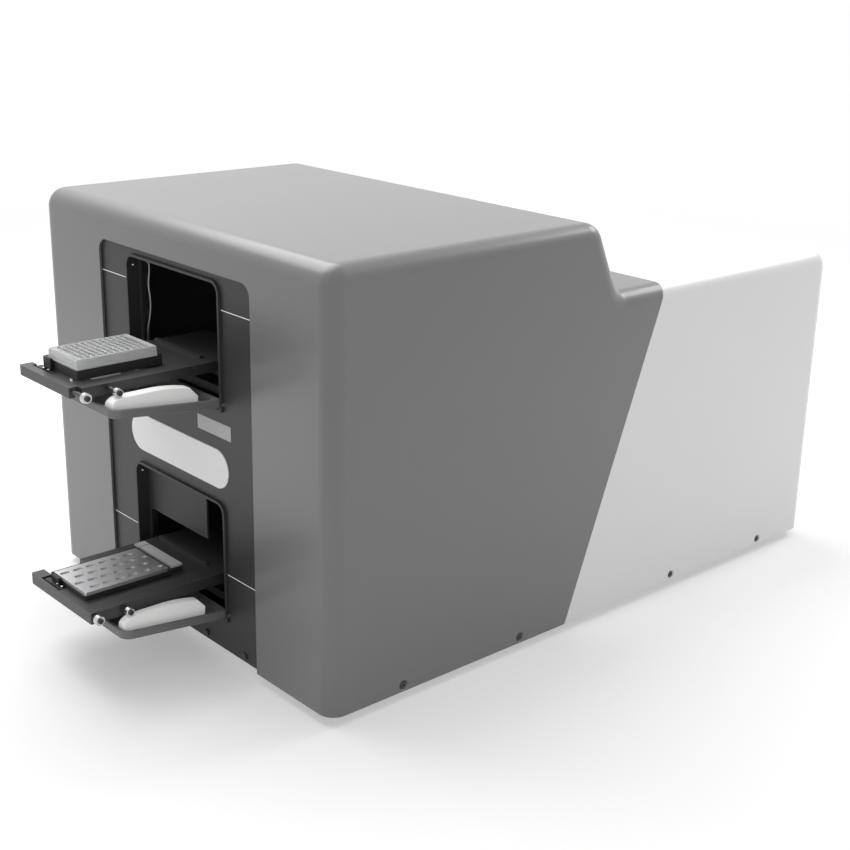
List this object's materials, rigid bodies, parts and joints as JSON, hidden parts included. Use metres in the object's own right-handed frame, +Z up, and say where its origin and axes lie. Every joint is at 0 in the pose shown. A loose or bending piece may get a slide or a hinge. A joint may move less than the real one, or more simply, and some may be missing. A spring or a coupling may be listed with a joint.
{
  "type": "raman spectrometer",
  "caption": "Bench Raman plate reader with two roller trays, drop-down doors on cams, a grey hood and a white rear cover.",
  "frame": {"origin": "under the middle of the whole object with both trays out, on the plane that its feet stand on", "axes": "+Z up, +Y towards the rear wall with the fans, +X towards the right side seen from the front"},
  "size_m": [0.75, 1.3114, 0.649],
  "materials": {
    "hood_paint": "satin grey powder coat",
    "rear_paint": "satin white powder coat",
    "panel_paint": "matt charcoal",
    "collar_plastic": "matt dark grey",
    "door_plastic": "matt mid grey",
    "cam_plastic": "white acetal",
    "black_anodised": "matt black anodised",
    "nest_plastic": "matt black",
    "plain_aluminium": "machined",
    "ground_steel": "ground",
    "bright_steel": "bright",
    "foot_rubber": "matt black",
    "diffuser": "frosted",
    "plate_plastic": "moulded polystyrene",
    "reference_plastic": "sintered white",
    "lead_jacket": "black jacket",
    "case_paint": "satin black",
    "board_laminate": "green solder mask",
    "black_plastic": "black"
  },
  "bodies": {
    "cabinet": {"base_plate": "plain_aluminium", "rubber_feet": "foot_rubber", "front_cover": "hood_paint", "rear_cover": "rear_paint", "cover_screws": "bright_steel", "front_panel": "panel_paint", "panel_screws": "bright_steel", "light_bar": "diffuser", "bay_collars": "collar_plastic", "bay_bulkhead": "panel_paint", "door_catches": "bright_steel", "door_pins": "ground_steel", "stage_tower": "plain_aluminium", "stage_decks": "plain_aluminium", "stage_rails": "ground_steel", "screw_supports": "plain_aluminium", "drive_motors": "case_paint", "gantry_beams": "black_anodised", "sensor_lead": "lead_jacket", "lead_clips": "black_plastic", "laser_module": "black_anodised", "spectrograph_housing": "black_anodised", "detector_camera": "case_paint", "power_supply": "plain_aluminium", "control_board": "board_laminate", "rear_io_panel": "plain_aluminium", "power_inlet": "black_plastic", "switch_frame": "black_plastic", "data_ports": "ground_steel", "fan_frames": "black_plastic", "fan_grilles": "bright_steel"},
    "microplate_body": {"microplate": "plate_plastic"},
    "adapter_body": {"adapter_plate": "plain_aluminium"},
    "upper_head": {"upper_read_head": "black_anodised"},
    "lower_head": {"lower_read_head": "black_anodised"},
    "rocker": {"power_rocker": "black_plastic"},
    "left_rotor": {"fan_rotor_left": "black_plastic"},
    "right_rotor": {"fan_rotor_right": "black_plastic"},
    "upper_tray_body": {"upper_tray": "black_anodised", "upper_nest": "nest_plastic", "upper_carriage": "plain_aluminium", "upper_tray_fasteners": "bright_steel"},
    "upper_door_body": {"upper_door": "door_plastic", "upper_door_cams": "cam_plastic"},
    "upper_clamp": {"upper_plate_clamp": "black_anodised"},
    "upper_screw": {"upper_drive_screw": "ground_steel"},
    "upper_front_wheels": {"upper_front_rollers": "bright_steel"},
    "upper_rear_wheels": {"upper_rear_rollers": "bright_steel"},
    "lower_tray_body": {"lower_tray": "black_anodised", "lower_nest": "nest_plastic", "lower_carriage": "plain_aluminium", "lower_tray_fasteners": "bright_steel", "reference_bar": "reference_plastic"},
    "lower_door_body": {"lower_door": "door_plastic", "lower_door_cams": "cam_plastic"},
    "lower_clamp": {"lower_plate_clamp": "black_anodised"},
    "lower_screw": {"lower_drive_screw": "ground_steel"},
    "lower_front_wheels": {"lower_front_rollers": "bright_steel"},
    "lower_rear_wheels": {"lower_rear_rollers": "bright_steel"}
  },
  "joints": [
    {"name": "upper_tray_slide", "type": "slide", "parent": "cabinet", "child": "upper_tray_body", "axis": [0, 1, 0], "range_m": [0, 0.335]},
    {"name": "upper_screw_spin", "type": "hinge", "parent": "cabinet", "child": "upper_screw", "pos_m": [0.133, -0.45225, 0.427], "axis": [0, 1, 0], "range_deg": [0, 12062]},
    {"name": "upper_door_hinge", "type": "hinge", "parent": "cabinet", "child": "upper_door_body", "pos_m": [0, -0.44825, 0.4072], "axis": [1, 0, 0], "range_deg": [0, 8], "stiffness_Nm_per_rad": 0.4, "springref_deg": -126.05},
    {"name": "upper_clamp_slide", "type": "slide", "parent": "upper_tray_body", "child": "upper_clamp", "axis": [0, -1, 0], "range_m": [0, 0.003], "stiffness_N_per_m": 500},
    {"name": "upper_front_roller_spin", "type": "hinge", "parent": "upper_tray_body", "child": "upper_front_wheels", "pos_m": [0.102, -0.64825, 0.45115], "axis": [1, 0, 0], "continuous": true},
    {"name": "upper_rear_roller_spin", "type": "hinge", "parent": "upper_tray_body", "child": "upper_rear_wheels", "pos_m": [0.102, -0.60025, 0.4499], "axis": [1, 0, 0], "continuous": true},
    {"name": "lower_tray_slide", "type": "slide", "parent": "cabinet", "child": "lower_tray_body", "axis": [0, 1, 0], "range_m": [0, 0.335]},
    {"name": "lower_screw_spin", "type": "hinge", "parent": "cabinet", "child": "lower_screw", "pos_m": [0.133, -0.45225, 0.0996], "axis": [0, 1, 0], "range_deg": [0, 12062]},
    {"name": "lower_door_hinge", "type": "hinge", "parent": "cabinet", "child": "lower_door_body", "pos_m": [0, -0.44825, 0.0785], "axis": [1, 0, 0], "range_deg": [0, 8], "stiffness_Nm_per_rad": 0.4, "springref_deg": -126.05},
    {"name": "lower_clamp_slide", "type": "slide", "parent": "lower_tray_body", "child": "lower_clamp", "axis": [0, -1, 0], "range_m": [0, 0.003], "stiffness_N_per_m": 500},
    {"name": "lower_front_roller_spin", "type": "hinge", "parent": "lower_tray_body", "child": "lower_front_wheels", "pos_m": [0.102, -0.64825, 0.12575], "axis": [1, 0, 0], "continuous": true},
    {"name": "lower_rear_roller_spin", "type": "hinge", "parent": "lower_tray_body", "child": "lower_rear_wheels", "pos_m": [0.102, -0.60025, 0.1245], "axis": [1, 0, 0], "continuous": true},
    {"name": "microplate_lift", "type": "slide", "parent": "upper_tray_body", "child": "microplate_body", "axis": [0, 0, 1], "range_m": [0, 0.06]},
    {"name": "adapter_plate_lift", "type": "slide", "parent": "lower_tray_body", "child": "adapter_body", "axis": [0, 0, 1], "range_m": [0, 0.06]},
    {"name": "upper_head_traverse", "type": "slide", "parent": "cabinet", "child": "upper_head", "axis": [1, 0, 0], "range_m": [-0.045, 0.045]},
    {"name": "lower_head_traverse", "type": "slide", "parent": "cabinet", "child": "lower_head", "axis": [1, 0, 0], "range_m": [-0.045, 0.045]},
    {"name": "power_rocker_tip", "type": "hinge", "parent": "cabinet", "child": "rocker", "pos_m": [0.18, 0.64725, 0.125], "axis": [1, 0, 0], "range_deg": [-14, 0]},
    {"name": "left_fan_spin", "type": "hinge", "parent": "cabinet", "child": "left_rotor", "pos_m": [-0.15, 0.63775, 0.415], "axis": [0, 1, 0], "continuous": true},
    {"name": "right_fan_spin", "type": "hinge", "parent": "cabinet", "child": "right_rotor", "pos_m": [0.15, 0.63775, 0.415], "axis": [0, 1, 0], "continuous": true}
  ],
  "couplings": [
    {"joint": "upper_screw_spin", "follows": "upper_tray_slide", "rad_per_m": 628.32},
    {"joint": "lower_screw_spin", "follows": "lower_tray_slide", "rad_per_m": 628.32}
  ]
}
